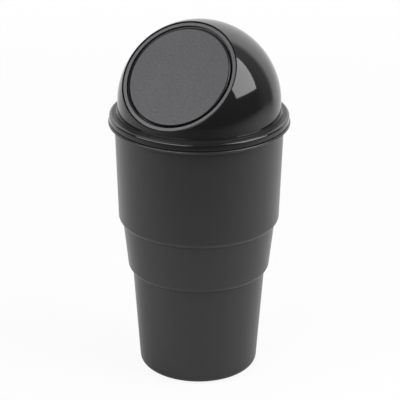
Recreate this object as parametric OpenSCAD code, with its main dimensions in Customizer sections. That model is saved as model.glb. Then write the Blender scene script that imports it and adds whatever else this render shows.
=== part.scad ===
/* [Cup] */
// Height of the cup to the top of its rim
cup_h = 129.5; // [122:0.5:142]
// Outer diameter of the cup just under its rim
mouth_d = 82.2; // [81:0.2:86]
// Height of the lower step
low_step_z = 52; // [46:0.5:58]
// Height of the upper step
high_step_z = 77.5; // [72:0.5:86]
// How far each tier stands out beyond the tier below it
step_out = 1.9; // [1.2:0.1:2.5]
// Draft of the lower tier, in degrees
low_draft = 4.1; // [2:0.1:5]
// Draft of the middle tier, in degrees
mid_draft = 6.3; // [3:0.1:7]
// Draft of the upper tier, in degrees
high_draft = 1.9; // [1:0.1:3]
// Radius of the rounded shoulder at the bottom of the upper and middle tiers
shoulder_r = 3; // [2.4:0.1:4]
// Radius of the rounded edge round the bottom
foot_edge_r = 3.5; // [3:0.1:5]
// Thickness of the cup's side wall
cup_wall = 1.5; // [1.2:0.1:1.8]
// Thickness of the cup's floor
floor_t = 2; // [1.6:0.1:3]
// Width of the flat ring that the cup stands on
foot_ring_w = 3; // [2:0.5:6]
// Depth of the hollow inside the foot ring
foot_hollow = 0.8; // [0.4:0.1:1.2]
// How far the rim stands out beyond the wall
rim_out = 3; // [2.4:0.1:4]
// Thickness of the rim, which has a full round edge
rim_t = 1.4; // [1.2:0.1:2]

/* [Dome lid] */
// Outer diameter of the dome
dome_d = 79.2; // [78:0.2:80]
// Height of the dome's centre above the rim of the cup
dome_rise = 9.4; // [8:0.1:14]
// Wall thickness of the lid
lid_wall = 1.7; // [1.4:0.1:2]
// Height of the lid's ledge above the rim of the cup
ledge_h = 3.7; // [3:0.1:4.5]
// How far the ledge stays inside the cup's rim
ledge_inset = 0.5; // [0:0.1:1]
// Least width of the ledge round the plinth
ledge_w = 2.5; // [2:0.1:3]
// Radius of the ledge's rounded upper edge
ledge_edge_r = 1.2; // [0.4:0.1:1.5]
// Width of the plinth that the dome stands on
plinth_w = 0.6; // [0.4:0.1:1]
// Height of the plinth above the ledge
plinth_h = 1.2; // [1:0.1:2.5]
// Depth of the plug that holds the lid in the cup
plug_h = 8; // [5:0.5:12]
// Clearance between the plug and the cup
plug_gap = 0.25; // [0.15:0.05:0.4]

/* [Flap frame] */
// Tilt of the frame's axis from upright, in degrees
open_tilt = 46; // [40:1:52]
// Outer diameter of the frame's face
frame_d = 57.2; // [56:0.2:58]
// Width of the shadow gap between the frame's face and the dome
frame_gap = 0.45; // [0.3:0.05:0.7]
// How far the frame's face lies below the edge of the dome
frame_sink = 0.5; // [0.2:0.1:0.8]
// Width of the frame's flat face
frame_face_w = 1.65; // [1.3:0.05:1.9]
// Depth of the step inside the frame's face
frame_step = 1.2; // [0.6:0.1:1.4]
// Thickness of the lip that stops the flap
lip_t = 1.2; // [1:0.1:1.6]
// Thickness of the flange that is glued to the inside of the dome
frame_flange_t = 1.3; // [1:0.1:1.5]
// How far the flange stands out beyond the frame's face
frame_lap = 3.3; // [3.1:0.1:4]
// Glue gap between the flange and the dome
frame_fit = 0.1; // [0.05:0.05:0.2]

/* [Flap] */
// Width of the dark gap between the disc and the frame's face
disc_gap = 1.15; // [0.9:0.05:1.3]
// Gap between the disc and the lip
flap_gap = 0.4; // [0.3:0.05:0.55]
// How far the disc lies below the frame's face
flap_recess = 0.1; // [0:0.1:0.4]
// Thickness of the disc
flap_t = 1.6; // [1.6:0.1:2.4]
// Radius of the rounded edge round the disc's face
flap_edge_r = 0.9; // [0.4:0.1:1.2]
// How far the flap's flange laps behind the lip
flap_lap = 0.9; // [0.7:0.05:1.1]
// Thickness of the flap's flange
flange_t = 1.3; // [1:0.1:1.6]
// Gap between the flap's flange and the lip when closed
seat_gap = 0.3; // [0.2:0.05:0.4]

/* [Hinge] */
// Diameter of the hinge pin
pin_d = 2; // [1.6:0.1:2.2]
// Distance of the pin's axis behind the flap's flange
hinge_back = 2.9; // [2.8:0.1:3.4]
// Distance of the pin's axis inside the edge of the flap's flange
hinge_in = 0.6; // [0.4:0.1:1.5]
// Wall round the pin in the ears and brackets
boss_wall = 1.4; // [1:0.1:1.5]
// Width of each ear on the flap
ear_w = 3; // [2:0.1:3.5]
// Width of each bracket on the frame, along the pin
bracket_w = 2.2; // [1.8:0.1:3]
// Thickness of each bracket's arm, across the pin
arm_t = 3.2; // [2.4:0.1:3.6]
// Side clearance in the hinge
side_gap = 0.3; // [0.2:0.05:0.5]
// Running clearance of the ears on the pin, on the radius
run_gap = 0.1; // [0.06:0.01:0.1]
// Clearance of the pin in the brackets, on the radius
pin_seat_gap = 0.02; // [0.01:0.01:0.04]

/* [Spring] */
// Diameter of the spring wire
wire_d = 0.6; // [0.5:0.05:0.8]
// Clearance between the coil and the pin
coil_gap = 0.5; // [0.3:0.05:0.55]
// Whole turns in the coil
coil_turns = 6; // [4:1:7]
// Length of the leg that presses on the flap
leg_l = 12; // [9:0.5:14]

/* [Hidden] */
$fn = 96;
arc_steps = 8;
small_edge = 0.3;
sink = 0.4;

cup_colour = "#333335";
lid_colour = "#1c1c1e";
frame_colour = "#6c6c70";
flap_colour = "#5f5f63";
steel_colour = "#b9bbbe";

// Cup radii from the mouth down to the floor
mouth_r = mouth_d / 2;
high_bottom_r = mouth_r - (cup_h - high_step_z) * tan(high_draft);
mid_top_r = high_bottom_r - step_out;
mid_bottom_r = mid_top_r - (high_step_z - low_step_z) * tan(mid_draft);
low_top_r = mid_bottom_r - step_out;
base_r = low_top_r - low_step_z * tan(low_draft);
rim_r = mouth_r + rim_out;
floor_z = foot_hollow + floor_t;
foot_inner_edge_r = foot_edge_r - cup_wall;
foot_ring_r = foot_edge(0, foot_edge_r, 0)[0][0];
foot_ring_in_r = foot_ring_r - foot_ring_w;

// Lid heights and radii, from the cup's rim and mouth
dome_r = dome_d / 2;
dome_in_r = dome_r - lid_wall;
dome_z = cup_h + dome_rise;
ledge_z = cup_h + ledge_h;
plinth_r = dome_r + plinth_w;
plinth_z = ledge_z + plinth_h;
ledge_r = max(rim_r - ledge_inset, plinth_r + ledge_w);
skirt_edge_r = 0.9;
plug_r = mouth_r - cup_wall - plug_h * tan(high_draft) - plug_gap;
plug_in_r = plug_r - lid_wall;
plug_lead = 0.6;

// Frame, measured along its own axis from the dome's centre
frame_r = frame_d / 2;
hole_r = frame_r + frame_gap;
face_z = sqrt(dome_r ^ 2 - hole_r ^ 2) - frame_sink;
face_in_r = frame_r - frame_face_w;
step_z = face_z - frame_step;
lip_z = step_z - lip_t;
flap_r = face_in_r - disc_gap;
bore_r = flap_r + flap_gap;
frame_seat_r = dome_in_r - frame_fit;
frame_back_r = frame_seat_r - frame_flange_t;
frame_end_a = acos((frame_r + frame_lap) / frame_seat_r);

// Flap, measured along the frame's axis
flap_face_z = face_z - flap_recess;
flap_back_z = flap_face_z - flap_t;
flange_r = bore_r + flap_lap;
flange_face_z = lip_z - seat_gap;
flange_back_z = flange_face_z - flange_t;
flap_hollow_r = flap_r - 2;
pad_w = 8;
pad_l = 14.5;

// Hinge axis, measured from the frame's axis and along it
pin_r = pin_d / 2;
boss_r = pin_r + boss_wall;
pin_y = flange_r - hinge_in;
pin_z = flange_back_z - hinge_back;
pin_reach = sqrt(pin_y ^ 2 + pin_z ^ 2);
pin_lean = atan2(pin_z, pin_y);

// Spring round the pin
coil_r = pin_r + coil_gap + wire_d / 2;
coil_pitch = wire_d * 1.1;
leave_a = 15;
leg_touch = 0.1;
leg_lean = asin((hinge_back - wire_d / 2 - leg_touch - coil_r) / leg_l);
coil_a = 360 * coil_turns + leave_a;
coil_w = coil_pitch * coil_a / 360;
coil_turn_steps = 16;
coil_rings = round(coil_a / 360 * coil_turn_steps);
wire_sides = 8;

// Hinge stations along the pin, outwards from the middle
ear_x = coil_w / 2 + wire_d / 2 + side_gap;
bracket_x = ear_x + ear_w + side_gap;
pin_l = 2 * (bracket_x + bracket_w + small_edge);

// Points along an arc, at both ends and between
function arc(c, r, a0, a1) =
    [for (i = [0 : arc_steps]) let (a = a0 + (a1 - a0) * i / arc_steps) c + r * [cos(a), sin(a)]];

// Radius of a tier's outer wall at height z, from its bottom radius and height
function tier_r(bottom_r, bottom_z, draft, z) = bottom_r + (z - bottom_z) * tan(draft);

// Angle at which a shoulder of radius r meets the wall below it
function shoulder_a(r, draft) = draft + acos(max(0, 1 - step_out * cos(draft) / r));

// Shoulder at the bottom of a tier, going up, moved inwards by inset
function shoulder(bottom_r, step_z, draft, inset) =
    let (z = step_z + shoulder_r * sin(shoulder_a(shoulder_r, draft)))
    let (c = [tier_r(bottom_r, step_z, draft, z) - shoulder_r / cos(draft), z])
    let (r = shoulder_r - inset)
    arc(c, r, -shoulder_a(r, draft), -draft);

// Point on the wall of the tier below, level with the start of a shoulder
function below(top_r, step_z, draft, inset, z) =
    [top_r + (z - step_z) * tan(draft) - inset / cos(draft), z];

// Bottom edge of the cup's wall, rounded, on a floor at height z
function foot_edge(z, r, inset) =
    let (x = tier_r(base_r, 0, low_draft, z + r) - (inset + r) / cos(low_draft))
    arc([x, z + r], r, -90, -low_draft);

// Side of the cup from the bottom up to its mouth, moved inwards by inset
function cup_side(z, edge_r, inset) =
    let (low = shoulder(mid_bottom_r, low_step_z, mid_draft, inset))
    let (high = shoulder(high_bottom_r, high_step_z, high_draft, inset))
    concat(
        foot_edge(z, edge_r, inset),
        inset > 0 ? [below(low_top_r, low_step_z, low_draft, inset, low[0][1])] : [],
        low,
        inset > 0 ? [below(mid_top_r, high_step_z, mid_draft, inset, high[0][1])] : [],
        high
    );

function reversed(list) = [for (i = [len(list) - 1 : -1 : 0]) list[i]];

// Full round edge of the rim
function rim_edge() = arc([rim_r - rim_t / 2, cup_h - rim_t / 2], rim_t / 2, -90, 90);

// Half section of the cup
function cup_section() =
    concat(
        [[0, foot_hollow], [foot_ring_in_r - foot_hollow, foot_hollow], [foot_ring_in_r, 0]],
        cup_side(0, foot_edge_r, 0),
        [[mouth_r - rim_t * tan(high_draft), cup_h - rim_t]],
        rim_edge(),
        [[mouth_r - cup_wall, cup_h]],
        reversed(cup_side(floor_z, foot_inner_edge_r, cup_wall)),
        [[0, floor_z]]
    );

// Half section of the lid below the dome, sunk into it: wall, plinth, ledge, skirt and plug
function lid_section() =
    concat(
        [[dome_in_r + small_edge, dome_z + sink], [dome_r - small_edge, dome_z + sink]],
        [[dome_r, dome_z], [dome_r, plinth_z]],
        arc([plinth_r - small_edge, plinth_z - small_edge], small_edge, 90, 0),
        arc([plinth_r + sink, ledge_z + sink], sink, 180, 270),
        arc([ledge_r - ledge_edge_r, ledge_z - ledge_edge_r], ledge_edge_r, 90, 0),
        arc([ledge_r - skirt_edge_r, cup_h + skirt_edge_r], skirt_edge_r, 0, -90),
        [[ledge_r - lid_wall, cup_h], [ledge_r - lid_wall, ledge_z - lid_wall]],
        [[plug_r, ledge_z - lid_wall], [plug_r, cup_h - plug_h + plug_lead]],
        [[plug_r - plug_lead, cup_h - plug_h], [plug_in_r, cup_h - plug_h]],
        [[plug_in_r, ledge_z - lid_wall], [dome_in_r, ledge_z], [dome_in_r, dome_z]]
    );

// Half section of the frame: face, step and lip, and the flange behind the dome
function frame_section() =
    concat(
        [[bore_r, lip_z], [bore_r, step_z - small_edge], [bore_r + small_edge, step_z]],
        [[face_in_r, step_z]],
        arc([face_in_r + small_edge, face_z - small_edge], small_edge, 180, 90),
        arc([frame_r - small_edge, face_z - small_edge], small_edge, 90, 0),
        arc([0, 0], frame_seat_r, acos(frame_r / frame_seat_r), frame_end_a),
        arc([0, 0], frame_back_r, frame_end_a, asin(lip_z / frame_back_r))
    );

// Half section of the flap: disc with a rounded edge in front, flange behind, hollow back
function flap_section() =
    concat(
        [[0, flap_face_z]],
        arc([flap_r - flap_edge_r, flap_face_z - flap_edge_r], flap_edge_r, 90, 0),
        [[flap_r, flange_face_z], [flange_r, flange_face_z], [flange_r, flange_back_z]],
        [[flap_hollow_r, flange_back_z], [flap_hollow_r, flap_back_z], [0, flap_back_z]]
    );

// Point on the coil at angle a from the frame's axis, at x along the pin
function coil_point(x, a) = [x, pin_y + coil_r * sin(a), pin_z + coil_r * cos(a)];

// Direction of travel along the coil at angle a
function coil_way(a) = [0, cos(a), -sin(a)];

// Length of the fixed leg, until it bears on the frame's flange
function fixed_leg() =
    let (p = coil_point(-coil_w / 2, coil_a))
    let (along = p * coil_way(coil_a))
    let (reach = frame_back_r - wire_d / 2 - leg_touch)
    sqrt(along ^ 2 - p * p + reach ^ 2) - along;

// Middle line of the spring: flap leg, coil, fixed leg
function spring_path() =
    concat(
        [coil_point(coil_w / 2, leg_lean) - leg_l * coil_way(leg_lean)],
        [for (i = [0 : coil_rings]) let (t = i / coil_rings)
            coil_point(coil_w * (0.5 - t), leg_lean + (coil_a - leg_lean) * t)],
        [coil_point(-coil_w / 2, coil_a) + fixed_leg() * coil_way(coil_a)]
    );

function unit(v) = v / norm(v);

// Ring of wire corners round point i of a path
function wire_ring(path, i) =
    let (way = unit(path[min(i + 1, len(path) - 1)] - path[max(i - 1, 0)]))
    let (across = unit(cross([1, 0, 0], way)))
    let (side = cross(way, across))
    [for (k = [0 : wire_sides - 1]) let (a = 360 * k / wire_sides)
        path[i] + wire_d / 2 * (cos(a) * across + sin(a) * side)];

module wire(path) {
    last = (len(path) - 1) * wire_sides;
    polyhedron(
        points = [for (i = [0 : len(path) - 1]) each wire_ring(path, i)],
        faces = concat(
            [[for (k = [0 : wire_sides - 1]) k]],
            [for (i = [0 : len(path) - 2]) for (k = [0 : wire_sides - 1])
                let (a = i * wire_sides + k)
                let (b = i * wire_sides + (k + 1) % wire_sides)
                [a, a + wire_sides, b + wire_sides, b]],
            [[for (k = [wire_sides - 1 : -1 : 0]) last + k]]
        )
    );
}

// Places what is drawn along the frame's axis, with +Z out of the dome and +Y up the flap
module in_opening() {
    translate([0, 0, dome_z]) rotate([open_tilt, 0, 0]) children();
}

// Eye of width w from x0 round the pin, with the arm that carries it, drawn in Y and Z
module eye(x0, w, gap) {
    translate([x0, 0, 0]) rotate([90, 0, 90]) linear_extrude(w) difference() {
        union() {
            translate([pin_y, pin_z]) circle(r = boss_r);
            children();
        }
        translate([pin_y, pin_z]) circle(r = pin_r + gap);
    }
}

// Thin moulded cup in three tapered tiers, with a rounded rim and a foot ring
module cup_body() {
    color(cup_colour) rotate_extrude() polygon(cup_section());
}

// Upper half of the dome's shell
module dome_shell() {
    translate([0, 0, dome_z]) difference() {
        sphere(r = dome_r);
        sphere(r = dome_in_r);
        translate([-dome_d, -dome_d, -dome_d]) cube([2 * dome_d, 2 * dome_d, dome_d]);
    }
}

// Glossy lid in one moulding: dome with its round hole, plinth, ledge and plug
module dome_lid() {
    color(lid_colour) difference() {
        union() {
            dome_shell();
            rotate_extrude() polygon(lid_section());
        }
        in_opening() cylinder(r = hole_r, h = dome_d);
    }
}

// Bracket on the back of the frame that holds one end of the pin
module bracket(x0) {
    eye(x0, bracket_w, pin_seat_gap)
        rotate(pin_lean) translate([pin_reach, -arm_t / 2])
            square([frame_back_r + sink - pin_reach, arm_t]);
}

// Satin ring in the dome's hole that stops the flap and carries its hinge
module flap_frame() {
    color(frame_colour) in_opening() {
        rotate_extrude() polygon(frame_section());
        bracket(bracket_x);
        bracket(-bracket_x - bracket_w);
    }
}

// Ear on the back of the flap that turns on the pin
module ear(x0) {
    eye(x0, ear_w, run_gap)
        translate([pin_y - boss_r, pin_z]) square([boss_r - sink, hinge_back + sink]);
}

// Matt disc that is pushed inwards, with its flange, ears and spring pad
module flap_disc() {
    color(flap_colour) in_opening() {
        rotate_extrude() polygon(flap_section());
        translate([-pad_w / 2, flap_hollow_r + sink - pad_l, flange_back_z])
            cube([pad_w, pad_l, flap_back_z - flange_back_z + sink]);
        ear(ear_x);
        ear(-ear_x - ear_w);
    }
}

// Half section of the pin, chamfered at both ends
function pin_section() = [
    [0, 0],
    [pin_r - small_edge, 0],
    [pin_r, small_edge],
    [pin_r, pin_l - small_edge],
    [pin_r - small_edge, pin_l],
    [0, pin_l]
];

// Steel pin through the ears and the brackets
module hinge_pin() {
    color(steel_colour) in_opening()
        translate([-pin_l / 2, pin_y, pin_z]) rotate([0, 90, 0])
            rotate_extrude() polygon(pin_section());
}

// Torsion spring that pushes the flap shut against the lip
module flap_spring() {
    color(steel_colour) in_opening() wire(spring_path());
}

cup_body();
dome_lid();
flap_frame();
flap_disc();
hinge_pin();
flap_spring();
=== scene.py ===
from math import acos, asin, atan2, cos, degrees, hypot, pi, radians, sin, sqrt, tan

import bpy
from mathutils import Euler, Matrix, Vector


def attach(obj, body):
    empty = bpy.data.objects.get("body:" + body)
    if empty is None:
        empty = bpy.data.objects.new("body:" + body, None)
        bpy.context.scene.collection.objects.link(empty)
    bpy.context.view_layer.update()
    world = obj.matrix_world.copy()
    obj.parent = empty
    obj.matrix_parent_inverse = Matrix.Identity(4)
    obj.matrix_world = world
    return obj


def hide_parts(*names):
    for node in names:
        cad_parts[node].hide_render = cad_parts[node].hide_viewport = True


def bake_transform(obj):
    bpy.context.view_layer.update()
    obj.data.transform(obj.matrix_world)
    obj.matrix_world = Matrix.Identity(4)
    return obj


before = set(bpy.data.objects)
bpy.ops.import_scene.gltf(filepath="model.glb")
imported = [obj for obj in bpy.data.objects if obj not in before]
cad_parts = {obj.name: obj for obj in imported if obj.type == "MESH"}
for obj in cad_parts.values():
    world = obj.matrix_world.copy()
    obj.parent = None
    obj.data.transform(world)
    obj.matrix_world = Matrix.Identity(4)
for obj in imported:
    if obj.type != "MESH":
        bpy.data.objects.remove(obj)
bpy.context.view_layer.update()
mm = 0.001


# Camera: a long lens a metre away, which looks down on the bin from the flap's right.
# Everything in the studio is placed by its direction as that camera sees it.
camera_azimuth = radians(30.5)
camera_elevation = radians(23.2)
camera_distance = 1.0
camera_roll = 0.0045
camera_lens = 182.8
sensor_width = 36
aim_right = 0.53 * mm
aim_height = 86.8 * mm

studio_turn = Matrix.Rotation(camera_azimuth, 3, "Z")
bpy.ops.object.camera_add()
camera = bpy.context.object
camera.name = "camera"
camera.data.lens = camera_lens
camera.data.sensor_width = sensor_width
look = Euler((pi / 2 - camera_elevation, 0, camera_azimuth)).to_matrix()
look = look @ Matrix.Rotation(camera_roll, 3, "Z")
camera.rotation_euler = look.to_euler()
aim = studio_turn @ Vector((aim_right, 0, aim_height))
camera.location = aim + look @ Vector((0, 0, camera_distance))
bpy.context.scene.camera = camera
bpy.context.scene.view_settings.view_transform = "Standard"


# Studio lamps: a tall softbox at the right of the camera, which the dome mirrors as a bright
# patch, and a wide one at its left, which lights the cup and the flap's ring.
softbox_range = 0.8
dome_centre = Vector((0, 0, 138.9 * mm))


def softbox(name, azimuth, elevation, width, height, glow, roll=0):
    """Lamp that faces the dome; azimuth 0 is the camera's side, and a positive one is to its right."""
    level = cos(elevation)
    way = studio_turn @ Vector((sin(azimuth) * level, -cos(azimuth) * level, sin(elevation)))
    bpy.ops.object.light_add(type="AREA", location=dome_centre + softbox_range * way)
    lamp = bpy.context.object
    lamp.name = name
    lamp.data.shape = "RECTANGLE"
    lamp.data.size = width
    lamp.data.size_y = height
    lamp.data.energy = glow * width * height
    facing = way.to_track_quat("Z", "Y").to_matrix() @ Matrix.Rotation(roll, 3, "Z")
    lamp.rotation_euler = facing.to_euler()


softbox(
    "right_softbox", azimuth=radians(75), elevation=radians(38.5), width=0.57, height=0.71,
    glow=16.5, roll=radians(-5))
softbox(
    "left_softbox", azimuth=radians(-51), elevation=radians(35), width=1.04, height=0.45, glow=13)


# World: white to the eye, and white for polish and light behind the bin, where the backdrop
# stands. The room is dim beside it, and dimmer still towards the camera.
room_light = 0.11
side_light = 0.27
side_starts = -0.1
side_full = 0.3
backdrop_light = 1.12
backdrop_starts = 0.47
backdrop_full = 0.65
backdrop_rise = 1.1


class Reading:
    """An output socket of a node tree. Operators on it add Math nodes."""

    def __init__(self, tree, socket):
        self.tree = tree
        self.socket = socket

    def math(self, operation, *values):
        """Result of a Math node on readings or values."""
        return self.tree.node("ShaderNodeMath", {"operation": operation}, dict(enumerate(values)))

    def vector_math(self, operation, *others, output=0):
        """Result of a Vector Math node on this reading and others."""
        inputs = dict(enumerate((self,) + others))
        return self.tree.node("ShaderNodeVectorMath", {"operation": operation}, inputs, output)

    def __add__(self, other):
        return self.math("ADD", self, other)

    def __radd__(self, other):
        return self.math("ADD", other, self)

    def __sub__(self, other):
        return self.math("SUBTRACT", self, other)

    def __rsub__(self, other):
        return self.math("SUBTRACT", other, self)

    def __mul__(self, other):
        return self.math("MULTIPLY", self, other)

    def __rmul__(self, other):
        return self.math("MULTIPLY", other, self)

    def at_least(self, other):
        """The larger of this reading and another one, or a value."""
        return self.math("MAXIMUM", self, other)

    def ramp(self, start, end, low=0, high=1):
        """Goes smoothly from low to high while this reading goes from start to end."""
        return self.tree.node(
            "ShaderNodeMapRange",
            {"interpolation_type": "SMOOTHSTEP"},
            {"Value": self, "From Min": start, "From Max": end, "To Min": low, "To Max": high},
        )


class Tree:
    """The nodes of one material or of the world."""

    def __init__(self, owner):
        owner.use_nodes = True
        self.owner = owner
        self.nodes = owner.node_tree.nodes
        self.links = owner.node_tree.links

    def node(self, kind, settings, inputs, output=0):
        """Adds a node, with its settings first and then its sockets' values or links."""
        node = self.nodes.new(kind)
        for setting, value in settings.items():
            setattr(node, setting, value)
        for socket, value in inputs.items():
            self.feed(node.inputs[socket], value)
        return Reading(self, node.outputs[output])

    def feed(self, socket, value):
        """Links a reading to a socket, or sets the socket's own value."""
        if isinstance(value, Reading):
            self.links.new(value.socket, socket)
        else:
            socket.default_value = value

    def place(self, kind="Object"):
        """Texture coordinates of one kind."""
        return self.node("ShaderNodeTexCoord", {}, {}, kind)

    def ray(self, kind):
        """1 for rays of one kind and 0 for all others."""
        return self.node("ShaderNodeLightPath", {}, {}, kind)

    def noise(self, place, scale, detail, roughness=0.5):
        """Noise between 0 and 1, with a scale per metre."""
        return self.node(
            "ShaderNodeTexNoise", {},
            {"Vector": place, "Scale": scale, "Detail": detail, "Roughness": roughness})

    def bump(self, height, distance, strength=1):
        """Normals of a relief that is a distance high."""
        return self.node(
            "ShaderNodeBump", {}, {"Strength": strength, "Distance": distance, "Height": height})

    def dress(self, colour, shade, roughness, relief):
        """Gives the surface a colour times a shade, a roughness and a relief."""
        tint = self.node("ShaderNodeVectorMath", {"operation": "SCALE"}, {0: colour, "Scale": shade})
        shader = self.nodes["Principled BSDF"]
        self.feed(shader.inputs["Base Color"], tint)
        self.feed(shader.inputs["Roughness"], roughness)
        self.feed(shader.inputs["Normal"], relief)


world = bpy.data.worlds.new("studio_room")
bpy.context.scene.world = world
room = Tree(world)
way = room.place("Generated")
away = studio_turn @ Vector((0, 1, 0))
behind = way.vector_math("DOT_PRODUCT", away, output="Value")
dim = behind.ramp(side_starts, side_full, room_light, side_light)
glow = behind.ramp(backdrop_starts, backdrop_full, dim, backdrop_light)
height = way.vector_math("DOT_PRODUCT", (0, 0, 1), output="Value")
lift = 1 + backdrop_rise * height.at_least(0)
seen = room.ray("Is Camera Ray")
background = room.nodes["Background"]
room.feed(background.inputs["Color"], (1, 1, 1, 1))
room.feed(background.inputs["Strength"], seen + (1 - seen) * glow * lift)


# Table: an oval sheet of light grey paper under the bin and behind it, with an edge that fades
# into the room. It looks nearly white to the camera and, behind the bin, partly white to polish.
# It is clear from below, so that the foot can be looked at.
table_drop = 0.05 * mm
table_r = 0.62
table_back = 0.1
table_stretch = 2
table_fade_starts = 0.06
table_fade_ends = 0.6
table_grey = 0.65
table_white_share = 0.9
table_polish_share = 0.65
polish_starts = -0.1
polish_full = 0.05
round_sides = 96

bpy.ops.mesh.primitive_circle_add(
    vertices=round_sides, radius=table_r, fill_type="NGON",
    location=table_back * away - Vector((0, 0, table_drop)), rotation=(0, 0, camera_azimuth))
table = bpy.context.object
table.name = "table"
table.scale.x = table_stretch
sheet = Tree(bpy.data.materials.new("white_sheet"))
spot = sheet.place()
fade = spot.vector_math("LENGTH", output="Value").ramp(table_fade_starts, table_fade_ends)
back = sheet.node("ShaderNodeSeparateXYZ", {}, {0: spot}, "Y").ramp(polish_starts, polish_full)
below = sheet.node("ShaderNodeNewGeometry", {}, {}, "Backfacing")
paper = sheet.node("ShaderNodeBsdfDiffuse", {}, {"Color": (table_grey,) * 3 + (1,)})
plain = sheet.node("ShaderNodeEmission", {}, {"Color": (1, 1, 1, 1), "Strength": 1})
clear = sheet.node("ShaderNodeBsdfTransparent", {}, {})
seen_share = sheet.ray("Is Camera Ray") * table_white_share
polish_share = sheet.ray("Is Glossy Ray") * back * table_polish_share
lit = sheet.node("ShaderNodeMixShader", {}, {0: seen_share + polish_share, 1: paper, 2: plain})
faded = sheet.node("ShaderNodeMixShader", {}, {0: fade.at_least(below), 1: lit, 2: clear})
sheet.feed(sheet.nodes["Material Output"].inputs["Surface"], faded)
table.data.materials.append(sheet.owner)


# Cup: one thin injection moulding in black polypropylene, drawn off its core along its axis.
# Three tapered tiers drop into a car's cup holder, a full round rim stiffens the mouth,
# and it stands on a ring round its hollow foot.
cup_h = 129.5 * mm
mouth_r = 41.1 * mm
cup_wall = 1.5 * mm
low_step_z = 52 * mm
high_step_z = 77.5 * mm
step_out = 1.9 * mm
low_draft = radians(4.1)
mid_draft = radians(6.3)
high_draft = radians(1.9)
shoulder_r = 3 * mm
foot_edge_r = 3.5 * mm
foot_ring_w = 3 * mm
foot_hollow = 0.8 * mm
floor_t = 2 * mm
rim_out = 3 * mm
rim_t = 1.4 * mm
arc_steps = 10
rim_steps = 14
sides = 224
weld = 0.001 * mm
smooth_below = radians(28)
patch_scale = 45

high_bottom_r = mouth_r - (cup_h - high_step_z) * tan(high_draft)
mid_top_r = high_bottom_r - step_out
mid_bottom_r = mid_top_r - (high_step_z - low_step_z) * tan(mid_draft)
low_top_r = mid_bottom_r - step_out
base_r = low_top_r - low_step_z * tan(low_draft)
rim_r = mouth_r + rim_out
floor_z = foot_hollow + floor_t


def arc(centre, radius, start, end, steps=arc_steps):
    """Points of an arc in a half section, with its angles in degrees."""
    angles = [radians(start + (end - start) * i / steps) for i in range(steps + 1)]
    return [(centre[0] + radius * cos(a), centre[1] + radius * sin(a)) for a in angles]


def drawn(name, points, closed=False):
    """Starts a piece as a chain of edges through some points, and stays in edit mode."""
    bpy.ops.object.select_all(action="DESELECT")
    bpy.ops.mesh.primitive_plane_add(size=mm)
    piece = bpy.context.object
    piece.name = piece.data.name = name
    bpy.ops.object.mode_set(mode="EDIT")
    bpy.ops.mesh.select_mode(type="VERT")
    bpy.ops.mesh.select_all(action="SELECT")
    bpy.ops.mesh.merge(type="CENTER")
    at = Vector(points[0])
    bpy.ops.transform.translate(value=at)
    for point in points[1:] + (points[:1] if closed else []):
        bpy.ops.mesh.extrude_vertices_move(TRANSFORM_OT_translate={"value": Vector(point) - at})
        at = Vector(point)
    bpy.ops.mesh.select_all(action="SELECT")
    return piece


def merged():
    """Merges what meets in the open mesh, turns its faces outwards and leaves edit mode."""
    bpy.ops.mesh.select_all(action="SELECT")
    bpy.ops.mesh.remove_doubles(threshold=weld)
    bpy.ops.mesh.normals_make_consistent(inside=False)
    bpy.ops.object.mode_set(mode="OBJECT")


def turned(name, section, closed=False):
    """Draws a half section and spins it once round +Z."""
    piece = drawn(name, [(radius, 0, height) for radius, height in section], closed)
    bpy.ops.mesh.spin(steps=sides, angle=2 * pi, center=(0, 0, 0), axis=(0, 0, 1))
    merged()
    return piece


def taken_up(piece):
    """Makes a piece the active one and the only one selected."""
    bpy.ops.object.select_all(action="DESELECT")
    piece.select_set(True)
    bpy.context.view_layer.objects.active = piece


def smoothed(piece):
    """Smooth shading that keeps flat faces flat beside their small rounded edges."""
    taken_up(piece)
    bpy.ops.object.shade_smooth_by_angle(angle=smooth_below)
    piece.modifiers.new("flat_faces", "WEIGHTED_NORMAL").keep_sharp = True
    bpy.ops.object.modifier_apply(modifier="flat_faces")


def plastic(name, colour, roughness, grain_size, grain_depth, grain_change, patch_change, rough_change):
    """Moulded plastic: fine surface grain, and slow drifts of its colour and gloss."""
    finish = Tree(bpy.data.materials.new(name))
    place = finish.place()
    grain = finish.noise(place, scale=1 / grain_size, detail=3, roughness=0.6)
    patch = finish.noise(place, scale=patch_scale, detail=2) - 0.5
    shade = 1 + patch_change * patch + grain_change * (grain - 0.5)
    finish.dress(colour, shade, roughness + rough_change * patch, finish.bump(grain, grain_depth))
    return finish.owner


def shoulder(bottom_r, step_z, draft, inset):
    """Rounded bottom of a tier, going up from where it meets the wall of the tier below."""
    turn = draft + acos(1 - step_out * cos(draft) / shoulder_r)
    z = step_z + shoulder_r * sin(turn)
    x = bottom_r + (z - step_z) * tan(draft) - shoulder_r / cos(draft)
    return arc((x, z), shoulder_r - inset, -degrees(turn), -degrees(draft))


def foot_edge(z, radius, inset):
    """Rounded edge between the floor at height z and the lowest wall."""
    x = base_r + (z + radius) * tan(low_draft) - (inset + radius) / cos(low_draft)
    return arc((x, z + radius), radius, -90, -degrees(low_draft))


def inner_wall_top(top_r, step_z, draft, z):
    """Point on the inner face of the tier below, level with the start of a shoulder."""
    return [(top_r + (z - step_z) * tan(draft) - cup_wall / cos(draft), z)]


def cup_side(z, edge_r, inset):
    """Side of the cup from its bottom edge up to the highest shoulder."""
    low = shoulder(mid_bottom_r, low_step_z, mid_draft, inset)
    high = shoulder(high_bottom_r, high_step_z, high_draft, inset)
    foot = foot_edge(z, edge_r, inset)
    if inset == 0:
        return foot + low + high
    return (
        foot
        + inner_wall_top(low_top_r, low_step_z, low_draft, low[0][1]) + low
        + inner_wall_top(mid_top_r, high_step_z, mid_draft, high[0][1]) + high
    )


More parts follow.
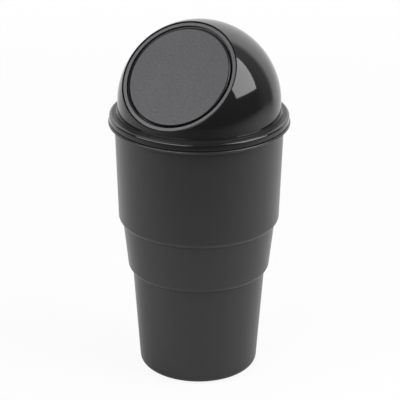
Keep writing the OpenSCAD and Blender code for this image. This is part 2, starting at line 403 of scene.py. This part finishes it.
foot_ring_r = foot_edge(0, foot_edge_r, 0)[0][0]
foot_ring_in_r = foot_ring_r - foot_ring_w
cup_section = (
    [(0, foot_hollow), (foot_ring_in_r - foot_hollow, foot_hollow), (foot_ring_in_r, 0)]
    + cup_side(0, foot_edge_r, 0)
    + [(mouth_r - rim_t * tan(high_draft), cup_h - rim_t)]
    + arc((rim_r - rim_t / 2, cup_h - rim_t / 2), rim_t / 2, -90, 90, rim_steps)
    + [(mouth_r - cup_wall, cup_h)]
    + cup_side(floor_z, foot_edge_r - cup_wall, cup_wall)[::-1]
    + [(0, floor_z)]
)
cup = turned("stepped_cup", cup_section)
smoothed(cup)
cup.data.materials.append(plastic(
    "satin_black", colour=(0.0195, 0.0195, 0.0200), roughness=0.31, grain_size=0.5 * mm,
    grain_depth=0.004 * mm, grain_change=0.15, patch_change=0.15, rough_change=0.06))
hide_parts("cup_body")
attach(cup, "cup")


# Lid: one black moulding, with a polished dome on a satin plinth and ledge. The ledge rests on
# the cup's rim, a plug under it holds it in the mouth, and a round hole in the dome, tilted
# towards the front, takes the flap's frame.
dome_r = 39.6 * mm
lid_wall = 1.7 * mm
dome_rise = 9.4 * mm
ledge_h = 3.7 * mm
ledge_inset = 0.5 * mm
plinth_w = 0.6 * mm
plinth_h = 1.2 * mm
plug_h = 8 * mm
plug_gap = 0.25 * mm
plug_lead = 0.6 * mm
ledge_edge_r = 1.2 * mm
skirt_edge_r = 0.9 * mm
small_edge = 0.3 * mm
cove_r = 0.15 * mm
plinth_edge_r = 0.1 * mm
open_tilt = radians(46)
hole_r = 29.05 * mm
hole_edge_r = 0.15 * mm
split_below = 4.25 * mm
dome_end = -54
dome_step = 2
edge_steps = 6
skirt_steps = 8
wall_slack = 0.02 * mm
ledge_slack = 0.01 * mm

dome_z = cup_h + dome_rise
dome_in_r = dome_r - lid_wall
ledge_z = cup_h + ledge_h
plinth_r = dome_r + plinth_w
plinth_z = ledge_z + plinth_h
ledge_r = rim_r - ledge_inset
plug_r = mouth_r - cup_wall - plug_h * tan(high_draft) - plug_gap
plug_in_r = plug_r - lid_wall


def dome_arc(radius, start, end):
    """Arc round the dome's centre, in the opening's frame, with its angles in degrees."""
    return arc((0, 0), radius, start, end, round(abs(end - start) / dome_step))


def set_in_opening(piece):
    """Moves a piece from the opening's own frame, with +Z out of the dome, to its place."""
    taken_up(piece)
    piece.rotation_euler = (open_tilt, 0, 0)
    piece.location = (0, 0, dome_z)
    bpy.ops.object.transform_apply(location=True, rotation=True, scale=True)


edge_centre_r = hole_r + hole_edge_r
edge_centre_z = sqrt((dome_r - hole_edge_r) ** 2 - edge_centre_r ** 2)
edge_turn = degrees(atan2(edge_centre_z, edge_centre_r))
lid_section = (
    dome_arc(dome_r, dome_end, edge_turn)
    + arc((edge_centre_r, edge_centre_z), hole_edge_r, edge_turn, 180, edge_steps)
    + dome_arc(dome_in_r, degrees(acos(hole_r / dome_in_r)), dome_end)
)
lid = turned("dome_lid_moulding", lid_section)
set_in_opening(lid)


def upright(piece, name, radius):
    """Sets what lies on a sphere round the dome's centre upright below that centre."""
    centre = Vector((0, 0, dome_z))
    low = [
        point.index for point in piece.data.vertices
        if point.co.z < dome_z and abs((point.co - centre).length - radius) < wall_slack]
    piece.vertex_groups.new(name=name).add(low, 1, "REPLACE")
    wall = piece.modifiers.new(name, "CAST")
    wall.cast_type = "CYLINDER"
    wall.use_z = False
    wall.factor = 1
    wall.use_radius_as_size = False
    wall.size = radius
    wall.vertex_group = name
    bpy.ops.object.modifier_apply(modifier=name)


def select_open_ring(piece, from_radius, to_radius):
    """Selects the open edges that lie between two distances from the Z axis."""
    bpy.ops.mesh.select_mode(type="EDGE")
    bpy.ops.mesh.select_all(action="DESELECT")
    bpy.ops.mesh.select_non_manifold(use_wire=False, use_multi_face=False, use_non_contiguous=False)
    bpy.ops.object.mode_set(mode="OBJECT")
    points = piece.data.vertices
    for edge in [edge for edge in piece.data.edges if edge.select]:
        edge.select = from_radius < hypot(*points[edge.vertices[0]].co.xy) < to_radius
    bpy.ops.object.mode_set(mode="EDIT")


def extrude_down(section, radius, height):
    """Carries a selected ring along a section, from the given radius and height."""
    for to_radius, to_height in section:
        bpy.ops.mesh.extrude_edges_move(TRANSFORM_OT_translate={"value": (0, 0, to_height - height)})
        share = to_radius / radius
        bpy.ops.transform.resize(value=(share, share, 1), center_override=(0, 0, to_height))
        radius, height = to_radius, to_height


split_z = dome_z - split_below
bpy.ops.object.mode_set(mode="EDIT")
bpy.ops.mesh.select_all(action="SELECT")
bpy.ops.mesh.bisect(
    plane_co=(0, 0, split_z), plane_no=(0, 0, -1), clear_outer=True, threshold=weld)
bpy.ops.mesh.select_all(action="SELECT")
bpy.ops.mesh.bisect(plane_co=(0, 0, dome_z), plane_no=(0, 0, 1), threshold=weld)
bpy.ops.mesh.select_all(action="SELECT")
bpy.ops.mesh.remove_doubles(threshold=wall_slack)
bpy.ops.object.mode_set(mode="OBJECT")
upright(lid, "outer_wall", dome_r)
upright(lid, "inner_wall", dome_in_r)
bpy.ops.object.mode_set(mode="EDIT")

outside = (
    [(dome_r, plinth_z)]
    + arc((plinth_r - plinth_edge_r, plinth_z - plinth_edge_r), plinth_edge_r, 90, 0, edge_steps)
    + arc((plinth_r + cove_r, ledge_z + cove_r), cove_r, 180, 270, edge_steps)
    + arc((ledge_r - ledge_edge_r, ledge_z - ledge_edge_r), ledge_edge_r, 90, 0, edge_steps)
    + arc((ledge_r - skirt_edge_r, cup_h + skirt_edge_r), skirt_edge_r, 0, -90, skirt_steps)
    + [(ledge_r - lid_wall, cup_h), (ledge_r - lid_wall, ledge_z - lid_wall)]
    + [(plug_r, ledge_z - lid_wall), (plug_r, cup_h - plug_h + plug_lead)]
    + [(plug_r - plug_lead, cup_h - plug_h)]
)
inside = [
    (dome_in_r, ledge_z), (plug_in_r, ledge_z - lid_wall), (plug_in_r, cup_h - plug_h),
]
ring_limit = (dome_r + dome_in_r) / 2
select_open_ring(lid, 0, ring_limit)
extrude_down(inside, dome_in_r, split_z)
select_open_ring(lid, ring_limit, rim_r)
extrude_down(outside, dome_r, split_z)
select_open_ring(lid, 0, rim_r)
bpy.ops.mesh.bridge_edge_loops()
bpy.ops.mesh.select_all(action="SELECT")
bpy.ops.mesh.normals_make_consistent(inside=False)
bpy.ops.object.mode_set(mode="OBJECT")
smoothed(lid)
lid.data.materials.append(plastic(
    "polished_black", colour=(0.008, 0.008, 0.0085), roughness=0.07, grain_size=3 * mm,
    grain_depth=0.0004 * mm, grain_change=0.05, patch_change=0.10, rough_change=0.02))
lid.data.materials.append(plastic(
    "satin_ledge", colour=(0.010, 0.010, 0.0105), roughness=0.48, grain_size=0.5 * mm,
    grain_depth=0.004 * mm, grain_change=0.05, patch_change=0.10, rough_change=0.04))
for face in lid.data.polygons:
    at_ledge = ledge_z - ledge_slack < face.center.z < plinth_z - plinth_edge_r
    if at_ledge and hypot(*face.center.xy) > dome_r:
        face.material_index = 1
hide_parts("dome_lid")
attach(lid, "lid")


# Frame: a ring moulding, glued behind the dome's hole with a fine shadow gap round it. Its face is
# satin grey; its step, lip and back are black, partly its own colour and partly painted shade in the
# recess round the flap. Its sunk lip stops the flap, and two brackets on its back hold the hinge pin.
frame_gap = 0.45 * mm
frame_sink = 0.5 * mm
frame_face_w = 1.65 * mm
frame_step = 1.2 * mm
lip_t = 1.2 * mm
frame_flange_t = 1.3 * mm
frame_lap = 3.3 * mm
frame_fit = 0.1 * mm
disc_gap = 1.15 * mm
flap_gap = 0.4 * mm
flap_lap = 0.9 * mm
flange_t = 1.3 * mm
seat_gap = 0.3 * mm
pin_r = 1 * mm
pin_seat_gap = 0.02 * mm
boss_r = 2.4 * mm
hinge_back = 2.9 * mm
hinge_in = 0.6 * mm
bracket_w = 2.2 * mm
arm_t = 3.2 * mm
arm_sink = 0.4 * mm
soft_edge = 0.2 * mm
flap_recess = 0.1 * mm
wire_r = 0.3 * mm
wire_pitch = 2.2 * wire_r
coil_turns = 6
leave_turn = 15
side_gap = 0.3 * mm
ear_w = 3 * mm
fold_steps = 5
eye_steps = 40
face_slack = 0.15 * mm

frame_r = hole_r - frame_gap
face_z = sqrt(dome_r ** 2 - hole_r ** 2) - frame_sink
face_in_r = frame_r - frame_face_w
step_z = face_z - frame_step
lip_z = step_z - lip_t
flap_r = face_in_r - disc_gap
bore_r = flap_r + flap_gap
frame_seat_r = dome_in_r - frame_fit
frame_back_r = frame_seat_r - frame_flange_t
frame_end = degrees(acos((frame_r + frame_lap) / frame_seat_r))
flange_r = bore_r + flap_lap
flange_back_z = lip_z - seat_gap - flange_t
pin_y = flange_r - hinge_in
pin_z = flange_back_z - hinge_back
pin_lean = atan2(pin_z, pin_y)
coil_turn = 360 * coil_turns + leave_turn
coil_w = wire_pitch * coil_turn / 360
ear_x = coil_w / 2 + wire_r + side_gap
bracket_x = ear_x + ear_w + side_gap


def softened(piece, width):
    """Small rounded edges, as a mould leaves them."""
    edges = piece.modifiers.new("edges", "BEVEL")
    edges.width = width
    edges.segments = 3
    edges.angle_limit = radians(40)
    bpy.ops.object.modifier_apply(modifier="edges")
    return piece


def rod(radius, x0, width):
    """Round bar on the hinge pin's axis, from x0 over a width."""
    bpy.ops.object.select_all(action="DESELECT")
    bpy.ops.mesh.primitive_cylinder_add(
        vertices=round_sides, radius=radius, depth=width,
        location=(x0 + width / 2, pin_y, pin_z), rotation=(0, pi / 2, 0))
    bpy.ops.object.transform_apply(location=True, rotation=True, scale=True)
    return bpy.context.object


def combined(piece, operation, tool):
    """Joins a tool to a piece or cuts it away, and removes the tool."""
    taken_up(piece)
    change = piece.modifiers.new("change", "BOOLEAN")
    change.operation = operation
    change.solver = "EXACT"
    change.object = tool
    bpy.ops.object.modifier_apply(modifier="change")
    bpy.data.meshes.remove(tool.data)
    return piece


def eye(x0, width, outline, gap):
    """Ear or bracket round the pin: an outline in Y and Z, extruded along X and bored."""
    piece = drawn("eye", [(x0, y, z) for y, z in outline], closed=True)
    bpy.ops.mesh.remove_doubles(threshold=weld)
    bpy.ops.mesh.edge_face_add()
    bpy.ops.mesh.extrude_region_move(TRANSFORM_OT_translate={"value": (width, 0, 0)})
    merged()
    softened(piece, soft_edge)
    return combined(piece, "DIFFERENCE", rod(pin_r + gap, x0 - width, 3 * width))


def faced(piece, plain, front, front_r):
    """One material all over and another on the flat front that looks out of the opening; on the frame
    the dark one is partly painted shade in the recess.
    """
    piece.data.materials.append(plain)
    piece.data.materials.append(front)
    out = Matrix.Rotation(open_tilt, 3, "X") @ Vector((0, 0, 1))
    centre = Vector((0, 0, dome_z))
    for face in piece.data.polygons:
        arm = face.center - centre
        height = arm.dot(out)
        if height > face_z - flap_recess - face_slack and (arm - height * out).length < front_r:
            face.material_index = 1


frame_section = (
    arc((bore_r + small_edge, lip_z + small_edge), small_edge, -90, -180, fold_steps)
    + arc((bore_r + small_edge, step_z - small_edge), small_edge, 180, 90, fold_steps)
    + [(face_in_r, step_z)]
    + arc((face_in_r + small_edge, face_z - small_edge), small_edge, 180, 90, edge_steps)
    + arc((frame_r - small_edge, face_z - small_edge), small_edge, 90, 0, edge_steps)
    + dome_arc(frame_seat_r, degrees(acos(frame_r / frame_seat_r)), frame_end)
    + dome_arc(frame_back_r, frame_end, degrees(asin(lip_z / frame_back_r)))
)
ring = turned("flap_frame_ring", frame_section, closed=True)
arm_turn = degrees(asin(arm_t / 2 / boss_r))
arm_start = degrees(pin_lean) + arm_turn
arm_way = Vector((cos(pin_lean), sin(pin_lean)))
arm_end = (frame_back_r + arm_sink) * arm_way
arm_side = arm_t / 2 * arm_way.orthogonal()
bracket_outline = (
    arc((pin_y, pin_z), boss_r, arm_start, arm_start + 360 - 2 * arm_turn, eye_steps)
    + [tuple(arm_end - arm_side), tuple(arm_end + arm_side)]
)
for x0 in (bracket_x, -bracket_x - bracket_w):
    combined(ring, "UNION", eye(x0, bracket_w, bracket_outline, pin_seat_gap))
set_in_opening(ring)
smoothed(ring)
smooth_black_and_recess_shade = plastic(
    "smooth_black_and_recess_shade", colour=(0.012, 0.012, 0.0125), roughness=0.25, grain_size=1 * mm,
    grain_depth=0.001 * mm, grain_change=0.05, patch_change=0.10, rough_change=0.06)
satin_grey = plastic(
    "satin_grey", colour=(0.094, 0.094, 0.099), roughness=0.36, grain_size=0.6 * mm,
    grain_depth=0.003 * mm, grain_change=0.10, patch_change=0.10, rough_change=0.06)
# The black on the frame's step, lip and walls is partly the moulding's colour and partly painted shade
# in the recess round the flap.
faced(ring, smooth_black_and_recess_shade, satin_grey, frame_r)
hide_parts("flap_frame")
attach(ring, "lid")


# Flap: a matt disc with a fine grained face, moulded in one with the flange that stops it
# behind the frame's lip, the ears that turn on the pin, and the pad that the spring bears on.
flap_t = 1.6 * mm
flap_edge_r = 0.9 * mm
flap_rim_w = 2 * mm
pad_w = 8 * mm
pad_l = 14.5 * mm
pad_lift = 0.05 * mm
run_gap = 0.1 * mm

flap_face_z = face_z - flap_recess
flap_back_z = flap_face_z - flap_t
flange_face_z = lip_z - seat_gap
flap_hollow_r = flap_r - flap_rim_w

flap_section = (
    [(0, flap_face_z)]
    + arc((flap_r - flap_edge_r, flap_face_z - flap_edge_r), flap_edge_r, 90, 0)
    + [(flap_r, flange_face_z)]
    + arc((flange_r - small_edge, flange_face_z - small_edge), small_edge, 90, 0, fold_steps)
    + arc((flange_r - small_edge, flange_back_z + small_edge), small_edge, 0, -90, fold_steps)
    + [(flap_hollow_r, flange_back_z), (flap_hollow_r, flap_back_z), (0, flap_back_z)]
)
flap = turned("flap_moulding", flap_section)
pad_z = flange_back_z + pad_lift
pad_t = flap_back_z + arm_sink - pad_z
bpy.ops.object.select_all(action="DESELECT")
bpy.ops.mesh.primitive_cube_add(
    size=1, scale=(pad_w, pad_l, pad_t),
    location=(0, flap_hollow_r + arm_sink - pad_l / 2, pad_z + pad_t / 2))
bpy.ops.object.transform_apply(location=True, rotation=True, scale=True)
combined(flap, "UNION", softened(bpy.context.object, soft_edge))
stem_top = flange_back_z + arm_sink
stem_turn = degrees(acos(-arm_sink / boss_r))
ear_outline = (
    arc((pin_y, pin_z), boss_r, 180, 360 + stem_turn, eye_steps)
    + [(pin_y - arm_sink, stem_top), (pin_y - boss_r, stem_top)]
)
for x0 in (ear_x, -ear_x - ear_w):
    combined(flap, "UNION", eye(x0, ear_w, ear_outline, run_gap))
set_in_opening(flap)
smoothed(flap)
grained_grey = plastic(
    "grained_grey", colour=(0.064, 0.064, 0.070), roughness=0.55, grain_size=0.9 * mm,
    grain_depth=0.06 * mm, grain_change=1.1, patch_change=0.3, rough_change=0.08)
faced(flap, smooth_black_and_recess_shade, grained_grey, flap_r - flap_edge_r)
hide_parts("flap_disc")
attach(flap, "flap")


# Spring: one length of drawn steel wire, wound round the pin between the flap's ears. One leg
# presses on the flap's pad and the other bears on the back of the frame.
coil_gap = 0.5 * mm
leg_l = 12 * mm
leg_touch = 0.1 * mm
turn_steps = 36
steel_colour = (0.60, 0.61, 0.62)
steel_roughness = 0.22
line_scale = 900
line_stretch = (20, 1, 1)
line_change = 0.16
line_depth = 0.002 * mm
stain_scale = 300
stain_change = 0.2

coil_r = pin_r + coil_gap + wire_r
leg_lean = degrees(asin((hinge_back - wire_r - leg_touch - coil_r) / leg_l))


def coil_point(x, turn):
    """Point on the coil's middle line at x along the pin, with its turn in degrees."""
    return Vector((x, pin_y + coil_r * sin(radians(turn)), pin_z + coil_r * cos(radians(turn))))


def coil_way(turn):
    """Direction in which the wire runs at that turn."""
    return Vector((0, cos(radians(turn)), -sin(radians(turn))))


def drawn_steel():
    """Bright steel with fine lines round the pin and along the wire."""
    finish = Tree(bpy.data.materials.new("drawn_steel"))
    place = finish.place()
    lines = finish.noise(place.vector_math("MULTIPLY", line_stretch), line_scale, detail=3)
    stain = finish.noise(place, stain_scale, detail=2)
    shade = 1 - stain_change / 2 + stain_change * stain
    relief = finish.bump(lines, line_depth, strength=0.5)
    finish.dress(steel_colour, shade, steel_roughness + line_change * lines, relief)
    finish.nodes["Principled BSDF"].inputs["Metallic"].default_value = 1
    return finish.owner


leave = coil_point(-coil_w / 2, coil_turn)
ahead = leave.dot(coil_way(coil_turn))
bearing_r = frame_back_r - wire_r - leg_touch
fixed_leg = sqrt(ahead ** 2 - leave.dot(leave) + bearing_r ** 2) - ahead
coil_steps = round((coil_turn - leg_lean) / 360 * turn_steps)
route = [coil_point(coil_w / 2, leg_lean) - leg_l * coil_way(leg_lean)]
for i in range(coil_steps + 1):
    share = i / coil_steps
    route.append(coil_point(coil_w * (0.5 - share), leg_lean + (coil_turn - leg_lean) * share))
route.append(leave + fixed_leg * coil_way(coil_turn))

spring = drawn("return_spring", route)
bpy.ops.object.mode_set(mode="OBJECT")
bpy.ops.object.convert(target="CURVE")
spring.data.bevel_depth = wire_r
spring.data.bevel_resolution = 4
spring.data.use_fill_caps = True
bpy.ops.object.convert(target="MESH")
bpy.ops.object.mode_set(mode="EDIT")
merged()
set_in_opening(spring)
smoothed(spring)
steel = drawn_steel()
spring.data.materials.append(steel)
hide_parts("flap_spring")
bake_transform(spring)


# Hinge pin: a ground steel rod, rounded at both ends and pressed into the frame's brackets.
# The flap's ears turn on it, inside the brackets, and the spring is wound round it.
pin_l = 2 * (bracket_x + bracket_w + small_edge)
pin = softened(rod(pin_r, -pin_l / 2, pin_l), small_edge)
pin.name = pin.data.name = "hinge_pin_rod"
set_in_opening(pin)
smoothed(pin)
pin.data.materials.append(steel)
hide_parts("hinge_pin")
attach(pin, "lid")
